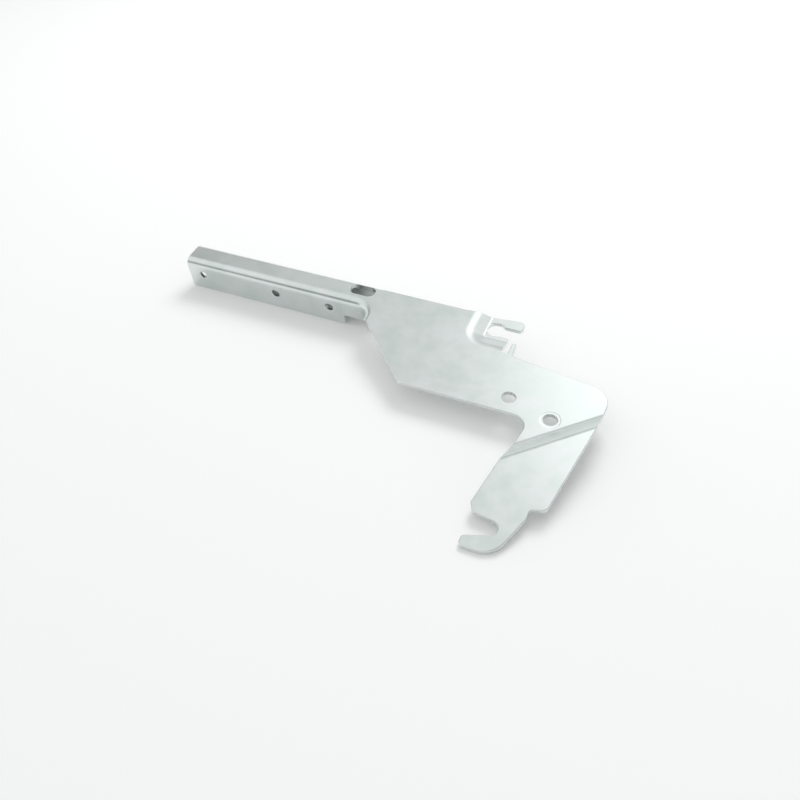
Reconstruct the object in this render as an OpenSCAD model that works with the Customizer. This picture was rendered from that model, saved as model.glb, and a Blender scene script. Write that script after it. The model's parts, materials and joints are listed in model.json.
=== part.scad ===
// Door hinge arm of a dishwasher: one blank of sheet steel, pierced, bent and zinc plated.
// A U-shaped rail carries the door on three screws. Beyond it the blank opens out into a flat
// plate with two holes and a sunk tab for the spring, and a raised leg ends in the pivot hook.
// The arm is drawn with the plate level and its top at z = 0, the outer face of the far flange
// on y = 0 and the open end of the rail on x = 0. At the end it is tipped to lie as it rests.

/* [Sheet] */
// Thickness of the sheet
sheet_t = 2; // [1:0.1:3]
// Inside radius of the two bends along the rail
bend_r = 2; // [1:0.1:3]

/* [Rail] */
// Width over the two flanges
rail_w = 15.2; // [13.5:0.1:20]
// Height of the near flange, measured from the top of the web
rail_h = 18.1; // [15:0.1:24]
// Length over which the near flange has its full height
rail_l = 95.5; // [92:0.5:120]
// Height of the near flange past the notch
neck_h = 12; // [9:0.1:14]
// Length of the far flange past the notch
far_neck_l = 18; // [16:0.5:20]
// Radius on the lower corners of the flanges
flange_corner_r = 1.5; // [0.5:0.1:3]
// Length of the straight near flange past the notch
near_neck_l = 7.8; // [5:0.1:10]
// Plan radius of the near flange where it turns out towards the plate
flare_r = 7.8; // [6:0.1:10]
// Distance past that turn at which the flange has run out to nothing
flare_cut = 3.2; // [2:0.1:5]

/* [Screw holes] */
// Diameter of the three holes in the near flange
screw_d = 4.6; // [3:0.1:6]
// Distance of their centres below the top of the web
screw_drop = 8.7; // [7.5:0.1:11]
// Distance of the first hole from the open end
screw_x = 9.3; // [5:0.1:15]
// Distance from the first hole to the second
screw_pitch_a = 45.8; // [40:0.1:50]
// Distance from the second hole to the third
screw_pitch_b = 32; // [25:0.1:36]

/* [Web slot] */
// Length of the oblong hole in the web
web_slot_l = 13.6; // [9:0.1:14]
// Width of the oblong hole
web_slot_w = 7; // [5:0.1:8]
// Distance of its middle past the notch
web_slot_x = 8; // [7:0.1:9]
// Distance of its middle from the far face of the rail
web_slot_y = 6; // [5.5:0.1:8]

/* [Plate] */
// Distance of the plate's far edge from the far face of the rail
plate_inset = 2.1; // [1:0.1:3]
// Distance of the plate's lower edge from the far face of the rail
plate_reach = 57.6; // [54:0.1:62]
// Distance along the rail to the right edge of the plate
plate_end = 238.3; // [234:0.1:244]
// Distance along the rail to the lower left corner of the plate
plate_heel = 146; // [140:0.1:152]
// Radius of that corner
heel_r = 2.5; // [1:0.1:5]
// Distance of the far edge, at the tab, from the far face of the rail
shoulder_y = 24.7; // [24:0.1:26]
// Fall of the far edge from the tab to the right edge
shoulder_fall = 6.5; // [4:0.1:8]
// Radius of the far right corner
shoulder_r = 10; // [5:0.5:12]
// Radius between the plate's lower edge and the leg
crook_r = 6.5; // [3:0.1:9]
// Radius between the plate's right edge and the leg
waist_r = 8; // [4:0.5:12]
// Distance from the tab's floor back to the bow in the far edge
bow_run = 14; // [12:0.5:18]
// Radius of that bow
bow_r = 20; // [10:1:30]

/* [Plate holes] */
// Diameter of the two holes in the plate
rivet_d = 6.2; // [4:0.1:8]
// Distance of the first hole from the plate's right edge
rivet_a_in = 41.9; // [38:0.1:46]
// Distance of the first hole from the far face of the rail
rivet_a_y = 49.2; // [45:0.1:51]
// Distance of the second hole from the plate's right edge
rivet_b_in = 21.1; // [18:0.1:25]
// Distance of the second hole from the far face of the rail
rivet_b_y = 55.4; // [51:0.1:57]

/* [Raised leg] */
// Height of the leg above the plate
leg_rise = 4.3; // [3:0.1:6]
// Slope of the ramp between plate and leg
leg_ramp = 30; // [20:1:45]
// Radius of the top surface at the foot of the ramp
leg_foot_r = 5; // [3:0.1:7]
// Radius of the top surface at the crest of the ramp
leg_crest_r = 5; // [3.5:0.1:7]
// Angle of the ramp to the rail
leg_skew = 42.5; // [38:0.5:47]
// Distance from the plate's right edge to where the line of the ramp crosses the lower edge
leg_ramp_in = 16.1; // [13:0.1:18]
// Sideways run of the leg's edges for each millimetre of its length
leg_slant = 0.152; // [0.1:0.002:0.2]
// Distance from the plate's right edge to the corner of leg and plate
leg_root_in = 29.3; // [26:0.1:32]
// Distance of the leg's left lower corner from the far face of the rail
leg_reach = 109.6; // [106:0.1:112]
// Width of the leg across its lower end
leg_w = 29; // [26:0.1:32]

/* [Hook] */
// Distance of the lowest point of the hook from the far face of the rail
hook_reach = 129.4; // [126:0.1:134]
// Distance from the hook's lowest edge to the middle of its gap
hook_gap_y = 11.6; // [10:0.1:13]
// Width of the gap at its closed end
hook_gap_w = 5.6; // [5:0.1:6.4]
// Widening of the gap towards the leg at its mouth
hook_flare = 1.6; // [1:0.1:2.5]
// Radius on the two corners between that mouth and the leg
mouth_r = 0.8; // [0.3:0.1:1.2]
// Depth of the gap from the tip of the finger
hook_depth = 12.2; // [10:0.1:14]
// Radius inside the closed end
hook_bore_r = 3; // [2:0.1:3.2]
// Outer radius of the hook
hook_outer_r = 10.4; // [8:0.1:11]
// Thickness of the finger at its tip
hook_tip_w = 4.7; // [4:0.1:6]
// Radius on the corners of that tip
hook_tip_r = 1.9; // [1:0.1:2]
// Distance along the rail from the leg's left lower corner to the tip
hook_tip_x = 2; // [0.5:0.1:3]
// Sideways run of the hook's outer edge below the neck
hook_run = 6.6; // [5:0.1:8]
// Width of the step where the neck leaves the leg's right edge
neck_step = 6.2; // [4:0.1:8]
// Fall of the step across its width
neck_fall = 1.6; // [1:0.1:2.5]
// Distance of the step from the leg's lower end
neck_rise = 6.4; // [5:0.1:8]
// Distance from the step to the lower end of the neck
neck_l = 6.4; // [6:0.1:8]
// Radius of the outer corner of the step
neck_outer_r = 3.4; // [2:0.1:3.5]
// Radius in the inner corner of the step
neck_inner_r = 2.2; // [1:0.1:2.5]
// Radius where the neck meets the hook
neck_low_r = 3; // [1:0.1:4]

/* [Spring tab] */
// Depth of the tab below the plate
tab_drop = 2.5; // [1.5:0.1:4]
// Slope of the ramp round the tab
tab_ramp = 20; // [14:1:30]
// Radius of the top surface at the foot of the ramp
tab_foot_r = 3.5; // [3:0.5:8]
// Radius of the top surface at the crest of the ramp
tab_crest_r = 13; // [6:0.5:16]
// Plan radius of the sunk floor in the corner of the ramp
tab_corner_r = 1.5; // [1:0.1:3]
// Place along the rail where the sunk floor begins
tab_x = 172.2; // [170:0.1:174]
// Distance of the sunk floor's near edge from the far face of the rail
tab_y = 14.3; // [13.5:0.1:15]
// Radius of the closed end of the spring slot
seat_r = 4.5; // [3.5:0.1:5]
// Distance along the rail from the start of the sunk floor to the middle of that end
seat_in = 4; // [3.5:0.1:5.5]
// Distance of that end from the far face of the rail
seat_y = 8.3; // [7.5:0.1:9]
// Width of the spring slot at its mouth
seat_mouth = 6.7; // [5.5:0.1:7]
// Length of the finger, from the start of the sunk floor
finger_l = 16.1; // [14:0.1:19]
// Distance that the finger's end stands out past the far face of the rail
finger_out = 1.1; // [0:0.1:2]
// Radius on the far corner of the finger's end
finger_r = 3; // [1:0.1:3.5]
// Radius on the corner between the finger's end and the slot
finger_inner_r = 1.6; // [0.5:0.1:2.2]
// Distance from the middle of the closed end to the middle of the mouth, towards the lip
mouth_shift = 0.5; // [0:0.1:0.8]
// Length of the lip beside the slot, from the start of the sunk floor
lip_l = 11.6; // [10:0.1:12.3]
// Width of the slit between the lip and the spur
slit_w = 3.3; // [2:0.1:4]
// Radius on the corners of the lip
lip_r = 1.2; // [0.5:0.1:2]
// Radius in the corners of the slit and on the spur's tip
slit_r = 0.8; // [0.3:0.1:0.9]
// Width of the spur
spur_w = 2.6; // [2:0.1:4]
// Loss of that width towards the tip
spur_taper = 0.8; // [0:0.1:1]
// Radius between the spur and the far edge
spur_root_r = 1.5; // [0.5:0.1:2.5]
// Distance of the spur's tip from the far face of the rail
spur_y = 16.5; // [15.5:0.1:18]

/* [Hidden] */
$fn = 96;
// Turn from point to point along the rounded corners of the blank, and along the ramps
arc_step = 6;
ramp_step = 3;
// Length by which a shape runs out past whatever trims it, and the same for the long raised leg
run_past = 20;
leg_past = 100;
// Length over which the ramps lap on to the flat sheet that they join
overlap = 1;
bend_out = bend_r + sheet_t;
screw_at = [screw_x, screw_x + screw_pitch_a, screw_x + screw_pitch_a + screw_pitch_b];
rivet_at = [[plate_end - rivet_a_in, -rivet_a_y], [plate_end - rivet_b_in, -rivet_b_y]];
leg_ramp_x = plate_end - leg_ramp_in;
leg_root_x = plate_end - leg_root_in;
seat_x = tab_x + seat_in;
finger_end = tab_x + finger_l;
lip_end = tab_x + lip_l;
flare_x = rail_l + near_neck_l;
flare_y = -rail_w - flare_r;
flare_top_r = flare_r + bend_out;
far_end = rail_l + far_neck_l;
tab_run = ramp_run(tab_drop, tab_ramp, tab_foot_r, tab_crest_r);
// The ramp turns about this point, and its near side ends in the middle of the slit.
tab_middle = [tab_x + tab_corner_r, -tab_y + tab_corner_r];
tab_near_l = lip_end + slit_w / 2 - tab_middle.x;
// The slit is cut just as far as the ramp round the tab reaches.
slit_y = tab_y + tab_run;
// The blank is cut off square past the flare, so the flange edge climbs from the notch to the plate.
cut_x = flare_x + flare_top_r;
cut_y = flare_y - flare_cut;
cut_slope = neck_h / (-rail_w - cut_y);
// The tip is found from the two lines that touch the floor: the near flange edge and the hook.
rest_tilt = atan((rail_h + leg_rise - sheet_t) / (hook_reach - rail_w));
// The far flange is so much higher that it stands on the floor too.
far_h = rail_h + (rail_w - sheet_t) * tan(rest_tilt);
rest_lift = rail_h * cos(rest_tilt) + rail_w * sin(rest_tilt);
rest_far = far_h * sin(rest_tilt);
rest_near = hook_reach * cos(rest_tilt) + leg_rise * sin(rest_tilt);

function unit(v) = v / norm(v);

// Points of the arc of radius r that rounds the corner b between its neighbours a and c.
function rounded_corner(a, b, c, r) =
    let (
        u = unit([a.x - b.x, a.y - b.y]),
        v = unit([c.x - b.x, c.y - b.y]),
        half = acos(u * v) / 2,
        middle = [b.x, b.y] + unit(u + v) * r / sin(half),
        from = [b.x, b.y] + u * r / tan(half) - middle,
        to = [b.x, b.y] + v * r / tan(half) - middle,
        side = sign(from.x * to.y - from.y * to.x),
        sweep = 180 - 2 * half,
        steps = max(2, ceil(sweep / arc_step)),
        start = atan2(from.y, from.x)
    )
    [for (i = [0:steps]) middle + r * [cos(start + side * sweep * i / steps),
                                       sin(start + side * sweep * i / steps)]];

// Outline through corners given as [x, y, radius]. A radius of 0 keeps the corner sharp.
function rounded(corners) =
    let (n = len(corners))
    [for (i = [0:n - 1])
        let (b = corners[i])
        each b.z > 0
            ? rounded_corner(corners[(i + n - 1) % n], b, corners[(i + 1) % n], b.z)
            : [[b.x, b.y]]];

// Sector of a sheet bent to inside radius r, from the x axis round to the given angle.
module bend_section(r, angle) {
    reach = 2 * (r + sheet_t);
    intersection() {
        difference() {
            circle(r + sheet_t);
            circle(r);
        }
        polygon([[0, 0], [reach, 0], [reach * cos(angle), reach * sin(angle)]]);
    }
}

// Run of a ramp whose top surface climbs by rise, with an arc at its foot and one at its crest.
function ramp_run(rise, ramp, foot_r, crest_r) =
    rise / tan(ramp) + (foot_r + crest_r) * tan(ramp / 2);

// One face of a joggled sheet, the given depth under its top surface.
function joggle_face(lead, rise, ramp, foot_r, crest_r, tail, depth) =
    let (
        steps = ceil(ramp / ramp_step),
        crest_x = lead + ramp_run(rise, ramp, foot_r, crest_r)
    )
    [
        [0, -depth],
        for (i = [0:steps])
            [lead, foot_r] + (foot_r + depth) * [sin(ramp * i / steps), -cos(ramp * i / steps)],
        for (i = [steps:-1:0])
            [crest_x, rise - crest_r]
                + (crest_r - depth) * [-sin(ramp * i / steps), cos(ramp * i / steps)],
        [crest_x + tail, rise - depth]
    ];

// Section of a joggle: a flat of length lead with its top on y = 0, a ramp up, a flat again.
module joggle_section(lead, rise, ramp, foot_r, crest_r, tail) {
    top = joggle_face(lead, rise, ramp, foot_r, crest_r, tail, 0);
    under = joggle_face(lead, rise, ramp, foot_r, crest_r, tail, sheet_t);
    polygon(concat(top, [for (i = [len(under) - 1:-1:0]) under[i]]));
}

// A flange and its bend, with the top of the bend on x = 0 and the flange out towards -x.
module flange_section(height) {
    translate([0, -bend_out])
        rotate(90)
            bend_section(bend_r, 90);
    translate([-bend_out, -height])
        square([sheet_t, height - bend_out]);
}

module near_section(height) {
    translate([-rail_w + bend_out, 0])
        flange_section(height);
    translate([-rail_w + bend_out, -sheet_t])
        square([rail_w - 2 * bend_out, sheet_t]);
}

module far_section() {
    translate([-bend_out, 0])
        mirror([1, 0])
            flange_section(far_h);
}

// Turns a section drawn as [y, z] so that it runs along the rail from x = from to x = to.
module along_rail(from, to) {
    translate([from, 0, 0])
        rotate([90, 0, 90])
            linear_extrude(to - from)
                children();
}

// Side view of a flange of the given length and height, with its lower corners rounded.
module flange_side(length, height) {
    rotate([90, 0, 0])
        linear_extrude(2 * run_past, center = true)
            polygon(rounded([[0, run_past, 0], [0, -height, flange_corner_r],
                             [length, -height, flange_corner_r], [length, run_past, 0]]));
}

// Web and near flange, with the notch in the flange before the flare.
module near_side() {
    intersection() {
        along_rail(0, rail_l)
            near_section(rail_h);
        flange_side(rail_l, rail_h);
    }
    along_rail(rail_l, flare_x)
        near_section(neck_h);
}

module far_side() {
    intersection() {
        along_rail(0, far_end)
            far_section();
        flange_side(far_end, far_h);
    }
}

// Near flange turned out round the flare and on along the plate's edge, cut off on a slope.
module flare() {
    intersection() {
        union() {
            translate([flare_x, flare_y, 0])
                rotate_extrude(angle = 90)
                    translate([flare_top_r, 0])
                        flange_section(neck_h);
            translate([cut_x, flare_y, 0])
                rotate([90, 0, 0])
                    linear_extrude(flare_y - cut_y)
                        flange_section(neck_h);
        }
        along_rail(flare_x - overlap, cut_x + overlap)
            polygon([[-rail_w + run_past, -neck_h - run_past * cut_slope],
                     [cut_y, 0], [cut_y, overlap], [-rail_w + run_past, overlap]]);
    }
}

// Outline of the flat blank past the rail, seen from above.
module blank_outline() {
    far_y = -plate_inset;
    low_y = -plate_reach;
    finger_y = -seat_y + seat_mouth / 2 - mouth_shift;
    lip_y = finger_y - seat_mouth;
    slit_x = lip_end + slit_w;
    spur_x = slit_x + spur_w;
    spur_tip_x = spur_x - spur_taper;
    spur_tip_r = min(slit_r, (spur_tip_x - slit_x) / 2);
    shoulder = -shoulder_y - shoulder_fall;
    leg_left = leg_root_x - leg_slant * (leg_reach - plate_reach);
    leg_right = leg_left + leg_w;
    tip_x = leg_left + hook_tip_x;
    tip_y = -hook_reach + hook_tip_w;
    gap_x = tip_x + hook_depth;
    gap_low = -hook_reach + hook_gap_y - hook_gap_w / 2;
    gap_high = gap_low + hook_gap_w;
    step_x = leg_right - neck_step;
    step_y = -leg_reach + neck_rise;
    right_x = leg_right + leg_slant * (-plate_reach - step_y);
    // The two rounds of the step share its width.
    step_fit = min(1, neck_step / (neck_outer_r + neck_inner_r));
    difference() {
        polygon(rounded([
            [flare_x, -bend_out, 0],
            [far_end, -bend_out, 0],
            [far_end, far_y, 0],
            [tab_x - bow_run, far_y, bow_r],
            [finger_end, finger_out, finger_r],
            [finger_end, finger_y, finger_inner_r],
            [seat_x, finger_y, 0],
            [seat_x, lip_y, 0],
            [lip_end, lip_y, lip_r],
            [lip_end, -slit_y, slit_r],
            [slit_x, -slit_y, slit_r],
            [slit_x, -spur_y, spur_tip_r],
            [spur_tip_x, -spur_y, spur_tip_r],
            [spur_x, -shoulder_y, spur_root_r],
            [plate_end, shoulder, shoulder_r],
            [right_x, low_y, waist_r],
            [leg_right, step_y, neck_outer_r * step_fit],
            [step_x, step_y - neck_fall, neck_inner_r * step_fit],
            [step_x, step_y - neck_l, neck_low_r],
            [step_x - hook_run, -hook_reach, hook_outer_r],
            [tip_x, -hook_reach, hook_tip_r],
            [tip_x, tip_y, hook_tip_r],
            [gap_x, gap_low, hook_bore_r],
            [gap_x, gap_high, hook_bore_r],
            [tip_x, gap_high + hook_flare, mouth_r],
            [leg_left, -leg_reach, mouth_r],
            [leg_root_x, low_y, crook_r],
            [plate_heel, low_y, heel_r],
            [cut_x, cut_y, 0],
            [cut_x, flare_y, 0],
            for (a = [arc_step:arc_step:90])
                [flare_x + flare_top_r * cos(a), flare_y + flare_top_r * sin(a), 0]
        ]));
        translate([seat_x, -seat_y])
            circle(seat_r);
    }
}

// Ramp and leg, swept along the skewed line of the ramp with the leg flat beyond it.
module raised_leg() {
    translate([leg_ramp_x, -plate_reach, 0])
        rotate([90, 0, leg_skew - 90])
            translate([-overlap, 0, 0])
                linear_extrude(2 * leg_past, center = true)
                    joggle_section(overlap, leg_rise, leg_ramp, leg_foot_r, leg_crest_r, leg_past);
}

// Plan of everything on the leg's side of the ramp line.
module leg_side() {
    translate([leg_ramp_x, -plate_reach])
        rotate(leg_skew - 90)
            translate([0, -leg_past])
                square([2 * leg_past, 2 * leg_past]);
}

// Sunk tab: the section of its ramp runs along the left side, round the corner and along the
// near side, and the floor fills what lies inside.
module sunk_tab() {
    translate([tab_middle.x, tab_middle.y, -tab_drop]) {
        rotate([0, 0, 180])
            rotate_extrude(angle = 90)
                tab_section();
        rotate([90, 0, 180])
            linear_extrude(run_past)
                tab_section();
        rotate([90, 0, 90])
            linear_extrude(tab_near_l)
                mirror([1, 0])
                    tab_section();
        translate([-tab_corner_r / 2, -tab_corner_r / 2, -sheet_t])
            cube([run_past, run_past, sheet_t]);
    }
}

module tab_section() {
    joggle_section(tab_corner_r, tab_drop, tab_ramp, tab_foot_r, tab_crest_r, overlap);
}

// Plan of the sunk tab with its ramp.
module tab_side() {
    outer = tab_corner_r + tab_run;
    translate(tab_middle) {
        intersection() {
            circle(outer);
            translate([-outer, -outer])
                square(outer);
        }
        translate([-outer, 0])
            square([outer, run_past]);
        translate([0, -outer])
            square([tab_near_l, outer]);
        square(run_past);
    }
}

// Flat plate: the blank without the leg and the tab, which lie at other levels.
module flat_plate() {
    translate([0, 0, -sheet_t])
        linear_extrude(sheet_t)
            difference() {
                blank_outline();
                leg_side();
                tab_side();
            }
}

module trimmed() {
    intersection() {
        children();
        translate([0, 0, -run_past])
            linear_extrude(2 * run_past)
                blank_outline();
    }
}

module holes() {
    for (x = screw_at)
        translate([x, -rail_w + sheet_t + overlap, -screw_drop])
            rotate([90, 0, 0])
                cylinder(d = screw_d, h = sheet_t + 2 * overlap);
    for (p = rivet_at)
        translate([p.x, p.y, -sheet_t - overlap])
            cylinder(d = rivet_d, h = sheet_t + 2 * overlap);
    translate([rail_l + web_slot_x, -web_slot_y, -bend_out])
        linear_extrude(bend_out + overlap) {
            square([web_slot_l - web_slot_w, web_slot_w], center = true);
            for (side = [-1, 1])
                translate([side * (web_slot_l - web_slot_w) / 2, 0])
                    circle(d = web_slot_w);
        }
}

module hinge_arm() {
    color("#c9cdcb")
        translate([-plate_end / 2, (rest_near - rest_far) / 2, rest_lift])
            rotate([rest_tilt, 0, 0])
                difference() {
                    union() {
                        near_side();
                        far_side();
                        flare();
                        flat_plate();
                        trimmed()
                            raised_leg();
                        trimmed()
                            sunk_tab();
                    }
                    holes();
                }
}

hinge_arm();
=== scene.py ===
import json
import math
from itertools import combinations

import bmesh
import bpy
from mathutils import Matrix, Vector
from mathutils.bvhtree import BVHTree
from mathutils.geometry import intersect_point_line


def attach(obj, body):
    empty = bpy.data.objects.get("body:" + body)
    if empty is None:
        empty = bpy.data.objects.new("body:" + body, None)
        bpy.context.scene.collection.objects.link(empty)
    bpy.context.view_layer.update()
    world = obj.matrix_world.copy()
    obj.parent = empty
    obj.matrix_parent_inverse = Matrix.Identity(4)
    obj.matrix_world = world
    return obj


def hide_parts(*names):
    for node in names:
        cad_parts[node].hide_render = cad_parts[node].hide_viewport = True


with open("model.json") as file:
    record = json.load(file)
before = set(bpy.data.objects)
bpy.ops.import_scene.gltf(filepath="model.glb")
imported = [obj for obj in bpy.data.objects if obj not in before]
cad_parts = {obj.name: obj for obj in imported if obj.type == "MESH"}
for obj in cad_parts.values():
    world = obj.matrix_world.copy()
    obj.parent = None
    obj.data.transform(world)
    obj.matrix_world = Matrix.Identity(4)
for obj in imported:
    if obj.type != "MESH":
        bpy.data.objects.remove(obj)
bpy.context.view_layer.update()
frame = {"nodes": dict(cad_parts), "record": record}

# Hinge arm: one blank of 2 mm cold-rolled steel sheet, pierced and blanked in a press, bent up
# into a rail, sunk at the spring tab and joggled at the leg, then zinc plated all over.
ARM_ARRIS = 0.0003
ARM_ARRIS_ANGLE = math.radians(40)
ARM_ARRIS_PIECE = 0.003
ARM_ARRIS_CLEAR = 0.001
ARM_CUSP = math.radians(50)
ARM_SLANT = math.radians(30)
ARM_SHORT = 0.0004
ARM_SMOOTH_ANGLE = math.radians(24)
ARM_FLAT_ANGLE = math.radians(0.2)
ARM_MERGE = 0.00002
ARM_CUT_SHARE = 1.15
mounts = {mount["name"]: mount for mount in frame["record"]["mounts"]}
rivet_hole = mounts["plate_hole_2"]
sheet_t = rivet_hole["dims"]["length_mm"] / 1000
rivet_r = rivet_hole["dims"]["r_mm"] / 1000
rivet_top = Vector(rivet_hole["pos_m"]) + Vector(rivet_hole["axis"]) * sheet_t / 2


def arrises_of(shape):
    """The edges at which the sheet's faces meet its cut faces, in the mesh's own order."""
    return [edge for edge in shape.edges if edge.calc_face_angle(0) > ARM_ARRIS_ANGLE]


def can_be_rounded(corner, arrises):
    """True where the arrises at a corner meet bluntly, and each other edge there is longer than
    the rounding is wide and stands well off them. That leaves out the cusp where the far bend
    runs out beside the plate's edge."""
    away = {edge: edge.other_vert(corner).co - corner.co for edge in corner.link_edges}
    sharp = [way for edge, way in away.items() if edge in arrises]
    soft = [way for edge, way in away.items() if edge not in arrises]
    return (
        len(sharp) > 1
        and all(one.angle(other) > ARM_CUSP for one, other in combinations(sharp, 2))
        and all(way.length > ARM_SHORT for way in soft)
        and all(way.angle(one) > ARM_SLANT for way in soft for one in sharp)
    )


def gap_to(edge, point):
    """Distance from an edge to a point."""
    start, end = (vert.co for vert in edge.verts)
    share = intersect_point_line(point, start, end)[1]
    return (start.lerp(end, min(max(share, 0), 1)) - point).length


def weigh_arrises(shape):
    """Marks the arrises that the bevel rounds. A long one is cut into pieces first, so that just
    the piece beside a corner that can't be rounded stays sharp."""
    for edge in arrises_of(shape):
        pieces = int(edge.calc_length() / ARM_ARRIS_PIECE)
        if pieces > 1:
            bmesh.ops.subdivide_edges(shape, edges=[edge], cuts=pieces)
    weight = shape.edges.layers.float.new("bevel_weight_edge")
    arrises = set(arrises_of(shape))
    corners = {vert for edge in arrises for vert in edge.verts}
    sharp_at = [vert.co for vert in corners if not can_be_rounded(vert, arrises)]
    for edge in arrises:
        edge[weight] = float(all(gap_to(edge, point) > ARM_ARRIS_CLEAR for point in sharp_at))


def merged_sheet(source, thickness):
    """The sheet's own solid, with its loose triangles merged, its flat faces made whole again,
    its bends smooth and its sharp edges sharp. A face is a cut one, with the second material,
    where the way straight in from its middle is longer than the sheet is thick."""
    mesh = source.data.copy()
    mesh.name = "arm_sheet"
    mesh.materials.clear()
    shape = bmesh.new()
    shape.from_mesh(mesh)
    bmesh.ops.remove_doubles(shape, verts=shape.verts, dist=ARM_MERGE)
    stray = [edge for edge in shape.edges if edge.is_wire]
    bmesh.ops.delete(shape, geom=stray, context="EDGES")
    shape.normal_update()
    solid = BVHTree.FromBMesh(shape)
    for face in shape.faces:
        inside = face.calc_center_median() - face.normal * ARM_MERGE
        depth = solid.ray_cast(inside, -face.normal)[3]
        face.material_index = int(depth is None or depth > thickness * ARM_CUT_SHARE)
        face.smooth = True
    bmesh.ops.dissolve_limit(
        shape,
        angle_limit=ARM_FLAT_ANGLE,
        verts=shape.verts,
        edges=shape.edges,
        delimit={"MATERIAL"},
    )
    weigh_arrises(shape)
    for edge in shape.edges:
        edge.smooth = edge.calc_face_angle(math.pi) < ARM_SMOOTH_ANGLE
    shape.to_mesh(mesh)
    shape.free()
    return mesh


arm = bpy.data.objects.new("arm_sheet", merged_sheet(frame["nodes"]["hinge_arm"], sheet_t))
bpy.context.scene.collection.objects.link(arm)
arris = arm.modifiers.new("arris", "BEVEL")
arris.width = ARM_ARRIS
arris.segments = 3
arris.limit_method = "WEIGHT"
arris.material = 0
arris.loop_slide = False
arris.use_clamp_overlap = False
flats = arm.modifiers.new("flats", "WEIGHTED_NORMAL")
flats.mode = "FACE_AREA"
flats.weight = 100
flats.keep_sharp = True


def linear(hex_colour):
    """sRGB hex to the linear red, green, blue and alpha that the shader sockets take."""
    parts = [int(hex_colour[i : i + 2], 16) / 255 for i in (1, 3, 5)]
    return [p / 12.92 if p <= 0.04045 else ((p + 0.055) / 1.055) ** 2.4 for p in parts] + [1.0]


def add(tree, kind, settings=None, **links):
    """A node of that kind with its settings, each input linked to a socket or set to a value.
    An underscore in an input's name stands for a space, and _0 for the first input."""
    node = tree.nodes.new(kind)
    for name, value in (settings or {}).items():
        setattr(node, name, value)
    for name, value in links.items():
        socket = node.inputs[int(name[1:]) if name[0] == "_" else name.replace("_", " ")]
        if isinstance(value, bpy.types.NodeSocket):
            tree.links.new(value, socket)
        else:
            socket.default_value = value
    return node


def new_material(name):
    """An empty node material of that name, and its tree."""
    material = bpy.data.materials.new(name)
    material.use_nodes = True
    material.node_tree.nodes.clear()
    return material, material.node_tree


def zinc_plated_steel(ring_at, hole_r):
    """Cold-rolled sheet under a bright zinc layer with a clear passivate: a satin metal, grey
    with a trace of blue-green. The sheet is never quite flat, so what it mirrors is cloudy over
    15 to 20 mm, and the rolls leave a fine grain of about 0.4 mm along the blank. A rivet head
    or washer has rubbed the sheet smooth in a ring 1.4 mm wide round the second hole."""
    material, tree = new_material("zinc-plated steel")
    place = add(tree, "ShaderNodeTexCoord").outputs["Object"]
    along = add(tree, "ShaderNodeMapping", Vector=place, Scale=(0.12, 1, 1)).outputs["Vector"]
    cloud = add(
        tree, "ShaderNodeTexNoise", Vector=place, Scale=90.0, Detail=3.0, Roughness=0.55
    ).outputs["Fac"]
    grain = add(
        tree, "ShaderNodeTexNoise", Vector=along, Scale=2500.0, Detail=3.0, Roughness=0.6
    ).outputs["Fac"]
    wave = add(
        tree, "ShaderNodeTexNoise", Vector=place, Scale=60.0, Detail=1.0, Roughness=0.4
    ).outputs["Fac"]
    tint = add(tree, "ShaderNodeValToRGB", Fac=cloud)
    tint.color_ramp.elements[0].position = 0.35
    tint.color_ramp.elements[0].color = linear("#d8e0dd")
    tint.color_ramp.elements[1].position = 0.65
    tint.color_ramp.elements[1].color = linear("#e2e7e6")
    satin = add(
        tree,
        "ShaderNodeMapRange",
        Value=cloud,
        From_Min=0.3,
        From_Max=0.7,
        To_Min=0.21,
        To_Max=0.27,
    ).outputs["Result"]
    reach = add(
        tree, "ShaderNodeVectorMath", {"operation": "DISTANCE"}, _0=place, _1=ring_at
    ).outputs["Value"]
    ring = add(
        tree,
        "ShaderNodeMapRange",
        {"interpolation_type": "SMOOTHSTEP"},
        Value=reach,
        From_Min=hole_r + 0.0011,
        From_Max=hole_r + 0.0017,
        To_Min=1.0,
        To_Max=0.0,
    ).outputs["Result"]
    gloss = add(
        tree, "ShaderNodeMath", {"operation": "MULTIPLY_ADD"}, _0=ring, _1=-0.04, _2=satin
    ).outputs["Value"]
    unflat = add(tree, "ShaderNodeBump", Strength=0.08, Distance=0.0004, Height=wave)
    pressed = add(
        tree,
        "ShaderNodeBump",
        {"invert": True},
        Strength=0.4,
        Distance=0.00012,
        Height=ring,
        Normal=unflat.outputs["Normal"],
    )
    rolled = add(
        tree,
        "ShaderNodeBump",
        Strength=0.12,
        Distance=0.00006,
        Height=grain,
        Normal=pressed.outputs["Normal"],
    )
    shader = add(
        tree,
        "ShaderNodeBsdfPrincipled",
        Base_Color=tint.outputs["Color"],
        Metallic=1.0,
        Roughness=gloss,
        Normal=rolled.outputs["Normal"],
    )
    add(tree, "ShaderNodeOutputMaterial", Surface=shader.outputs["BSDF"])
    return material


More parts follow.
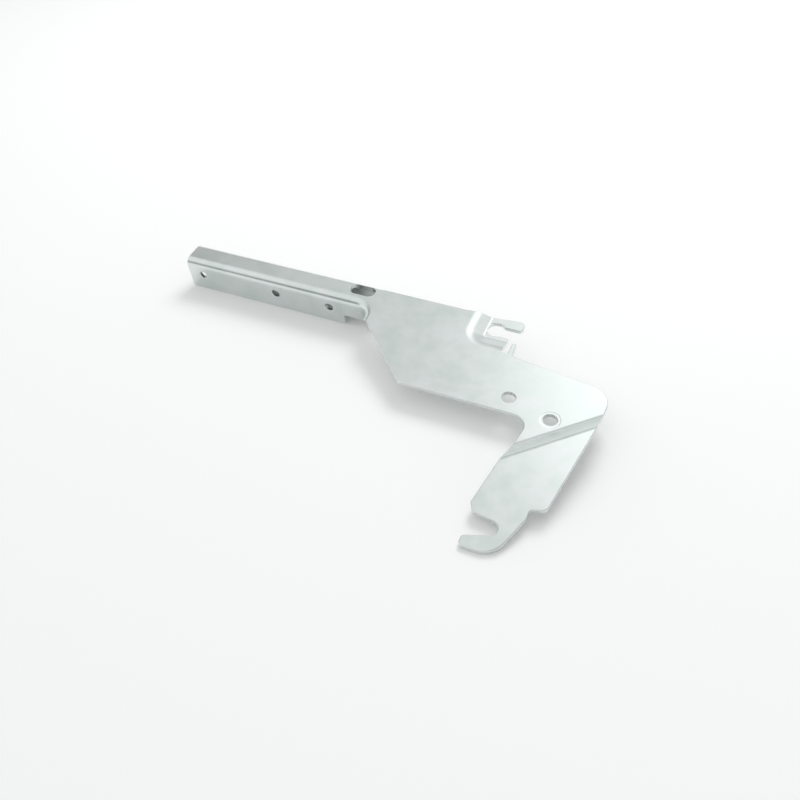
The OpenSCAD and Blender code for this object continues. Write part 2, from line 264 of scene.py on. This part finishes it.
def sheared_edge():
    """The blanked edge of the sheet under the same zinc: torn rather than rolled, so it is rougher
    than the faces, and scored through the sheet's thickness about every 0.3 mm."""
    material, tree = new_material("zinc-plated sheared edge")
    place = add(tree, "ShaderNodeTexCoord").outputs["Object"]
    through = add(tree, "ShaderNodeMapping", Vector=place, Scale=(1, 1, 0.15)).outputs["Vector"]
    score = add(
        tree, "ShaderNodeTexNoise", Vector=through, Scale=3000.0, Detail=2.0, Roughness=0.5
    ).outputs["Fac"]
    tint = add(tree, "ShaderNodeValToRGB", Fac=score)
    tint.color_ramp.elements[0].position = 0.3
    tint.color_ramp.elements[0].color = linear("#dfe5e3")
    tint.color_ramp.elements[1].position = 0.6
    tint.color_ramp.elements[1].color = linear("#eef1f0")
    torn = add(tree, "ShaderNodeBump", Strength=0.25, Distance=0.00008, Height=score)
    shader = add(
        tree,
        "ShaderNodeBsdfPrincipled",
        Base_Color=tint.outputs["Color"],
        Metallic=1.0,
        Roughness=0.32,
        Normal=torn.outputs["Normal"],
    )
    add(tree, "ShaderNodeOutputMaterial", Surface=shader.outputs["BSDF"])
    return material


arm.data.materials.append(zinc_plated_steel(rivet_top, rivet_r))
arm.data.materials.append(sheared_edge())
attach(arm, "root")
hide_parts("hinge_arm")

# Floor: a seamless white table, on which the arm lies. It isn't part of the object.
FLOOR_HALF = 3.0
floor_mesh = bpy.data.meshes.new("floor")
floor_mesh.from_pydata(
    [(x * FLOOR_HALF, y * FLOOR_HALF, 0) for x, y in ((-1, -1), (1, -1), (1, 1), (-1, 1))],
    [],
    [(0, 1, 2, 3)],
)
floor = bpy.data.objects.new("floor", floor_mesh)
bpy.context.scene.collection.objects.link(floor)


def white_table():
    """Matt white laminate. What looks at it, or at its mirror image in the metal, sees it a
    little lighter than the lamps make it, as on an overexposed studio table."""
    material, tree = new_material("white laminate")
    paint = add(tree, "ShaderNodeBsdfDiffuse", Color=linear("#efefef"))
    ray = add(tree, "ShaderNodeLightPath")
    seen = add(
        tree,
        "ShaderNodeMath",
        {"operation": "MAXIMUM"},
        _0=ray.outputs["Is Camera Ray"],
        _1=ray.outputs["Is Glossy Ray"],
    )
    lift = add(
        tree, "ShaderNodeMath", {"operation": "MULTIPLY"}, _0=seen.outputs["Value"], _1=0.1
    )
    glow = add(tree, "ShaderNodeEmission", Strength=lift.outputs["Value"])
    both = add(
        tree, "ShaderNodeAddShader", _0=paint.outputs["BSDF"], _1=glow.outputs["Emission"]
    )
    add(tree, "ShaderNodeOutputMaterial", Surface=both.outputs["Shader"])
    return material


floor.data.materials.append(white_table())

# Light: a white room with a soft box high up behind the arm, a paler wall round it, a bright
# ceiling in front, a white cove all round and one darker open side. The key lamp stands just below
# the soft box and gives the floor its shadows. The metal mirrors the soft box and not the lamp.
world = bpy.data.worlds.new("room")
bpy.context.scene.world = world
world.use_nodes = True
room = world.node_tree
room.nodes.clear()
towards = add(room, "ShaderNodeTexCoord").outputs["Generated"]


def slope(direction, low, high, low_level, high_level):
    """A level that changes smoothly with the cosine of the angle to that direction."""
    cosine = add(
        room, "ShaderNodeVectorMath", {"operation": "DOT_PRODUCT"}, _0=towards, _1=direction
    ).outputs["Value"]
    return add(
        room,
        "ShaderNodeMapRange",
        {"interpolation_type": "SMOOTHSTEP"},
        Value=cosine,
        From_Min=low,
        From_Max=high,
        To_Min=low_level,
        To_Max=high_level,
    ).outputs["Result"]


def joined(operation, first, second):
    """Two levels as one, by that operation."""
    return add(
        room, "ShaderNodeMath", {"operation": operation}, _0=first, _1=second
    ).outputs["Value"]


SOFT_BOX = Vector((0.0, 0.58, 0.815))
FRONT_CEILING = Vector((-0.5, -0.5, 0.7))
OPEN_SIDE = Vector((-0.33, -0.944, 0.0))
ZENITH = Vector((0.0, 0.0, 1.0))
wall = slope(SOFT_BOX, 0.74, 0.94, 0.35, 0.8)
core = slope(SOFT_BOX, 0.96, 0.996, 0.0, 0.85)
ceiling = slope(FRONT_CEILING, 0.5, 0.9, 0.0, 0.6)
cove = slope(ZENITH, 0.25, 0.6, 1.05, 0.0)
lit = joined("MAXIMUM", joined("ADD", joined("ADD", wall, core), ceiling), cove)
level = joined("MULTIPLY", lit, slope(OPEN_SIDE, 0.8, 0.95, 1.0, 0.35))
sky = add(room, "ShaderNodeBackground", Color=linear("#fcfdfd"), Strength=level)
add(room, "ShaderNodeOutputWorld", Surface=sky.outputs["Background"])

KEY_AT = Vector((0.0, 0.866, 0.83))
key_light = bpy.data.lights.new("key lamp", "AREA")
key_light.shape = "DISK"
key_light.size = 0.6
key_light.energy = 5.5
key = bpy.data.objects.new("key lamp", key_light)
key.location = KEY_AT
key.rotation_euler = key.location.to_track_quat("Z", "Y").to_euler()
key.visible_glossy = False
bpy.context.scene.collection.objects.link(key)

# Camera: close over the near right side, as in the photograph.
view = bpy.data.cameras.new("camera")
view.sensor_width = 36
view.lens = 36
camera = bpy.data.objects.new("camera", view)
camera.location = (0.14674, -0.25490, 0.23688)
camera.rotation_euler = [math.radians(turn) for turn in (50.362, 0.145, 24.372)]
bpy.context.scene.collection.objects.link(camera)
bpy.context.scene.camera = camera
bpy.context.scene.view_settings.view_transform = "Standard"

bpy.context.view_layer.update()
